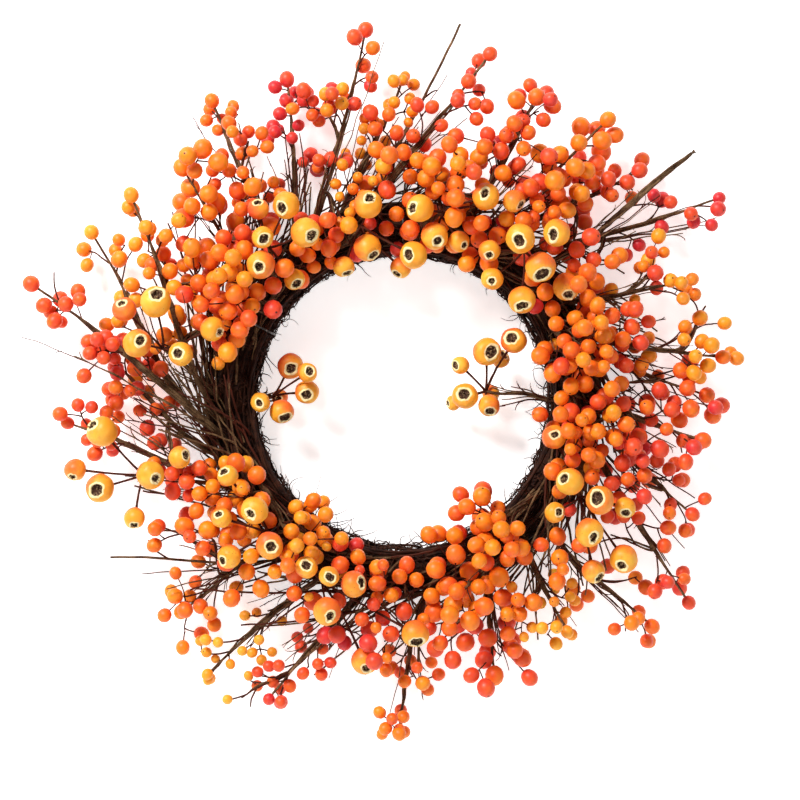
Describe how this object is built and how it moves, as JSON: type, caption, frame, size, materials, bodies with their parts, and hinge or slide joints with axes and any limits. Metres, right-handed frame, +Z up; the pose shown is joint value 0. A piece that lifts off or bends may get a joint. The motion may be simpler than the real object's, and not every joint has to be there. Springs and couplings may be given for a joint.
{
  "type": "harvest door wreath",
  "caption": "Round twig wreath with wired sprays of small berries and clustered crab apples sweeping clockwise, and a wire hanging loop at the back of its top.",
  "frame": {"origin": "the point on the door's face where the hook stands, under the top wire of the hanging loop", "axes": "+Z up, -Y out of the wreath's front towards the viewer, +X to the viewer's right; the door's face is the plane y = 0"},
  "size_m": [0.5663, 0.1047, 0.5648],
  "materials": {
    "amber_berry": "satin",
    "bark": "matte",
    "coral_berry": "satin",
    "crimson_berry": "satin",
    "dark_twig": "matte",
    "gold_berry": "satin",
    "orange_berry": "satin",
    "wire": "satin"
  },
  "bodies": {
    "wreath": {"apple_pick_01": "gold_berry", "apple_pick_02": "gold_berry", "apple_pick_03": "gold_berry", "apple_pick_04": "gold_berry", "apple_pick_05": "gold_berry", "apple_pick_06": "gold_berry", "apple_pick_07": "gold_berry", "apple_pick_08": "gold_berry", "apple_pick_09": "gold_berry", "apple_pick_10": "gold_berry", "apple_pick_11": "gold_berry", "bare_twig_left": "bark", "bare_twig_right": "bark", "bare_twig_top": "bark", "berry_spray_01": "coral_berry", "berry_spray_02": "crimson_berry", "berry_spray_03": "orange_berry", "berry_spray_04": "orange_berry", "berry_spray_05": "amber_berry", "berry_spray_06": "amber_berry", "berry_spray_07": "coral_berry", "berry_spray_08": "coral_berry", "berry_spray_09": "orange_berry", "berry_spray_10": "coral_berry", "berry_spray_11": "amber_berry", "berry_spray_12": "coral_berry", "berry_spray_13": "orange_berry", "berry_spray_14": "orange_berry", "berry_spray_15": "coral_berry", "berry_spray_16": "crimson_berry", "berry_spray_17": "amber_berry", "berry_spray_18": "amber_berry", "berry_spray_19": "coral_berry", "berry_spray_20": "orange_berry", "berry_spray_21": "orange_berry", "berry_spray_22": "coral_berry", "berry_spray_23": "coral_berry", "berry_spray_24": "coral_berry", "berry_spray_25": "orange_berry", "berry_spray_26": "gold_berry", "berry_spray_27": "orange_berry", "berry_spray_28": "orange_berry", "berry_spray_29": "coral_berry", "berry_spray_30": "orange_berry", "berry_spray_31": "coral_berry", "berry_spray_32": "orange_berry", "berry_spray_33": "amber_berry", "berry_spray_34": "gold_berry", "berry_spray_35": "coral_berry", "hanger_tie": "wire", "tie_wire_1": "wire", "tie_wire_2": "wire", "tie_wire_3": "wire", "tie_wire_4": "wire", "twig_bundle": "dark_twig", "twig_strand_1": "dark_twig", "twig_strand_2": "dark_twig", "twig_strand_3": "dark_twig", "twig_strand_4": "dark_twig"},
    "loop": {"hanging_loop": "wire"}
  },
  "joints": [
    {"name": "loop_swing", "type": "hinge", "parent": "wreath", "child": "loop", "pos_m": [0, -0.012, -0.03895], "axis": [-1, 0, 0], "range_deg": [0, 110]}
  ]
}
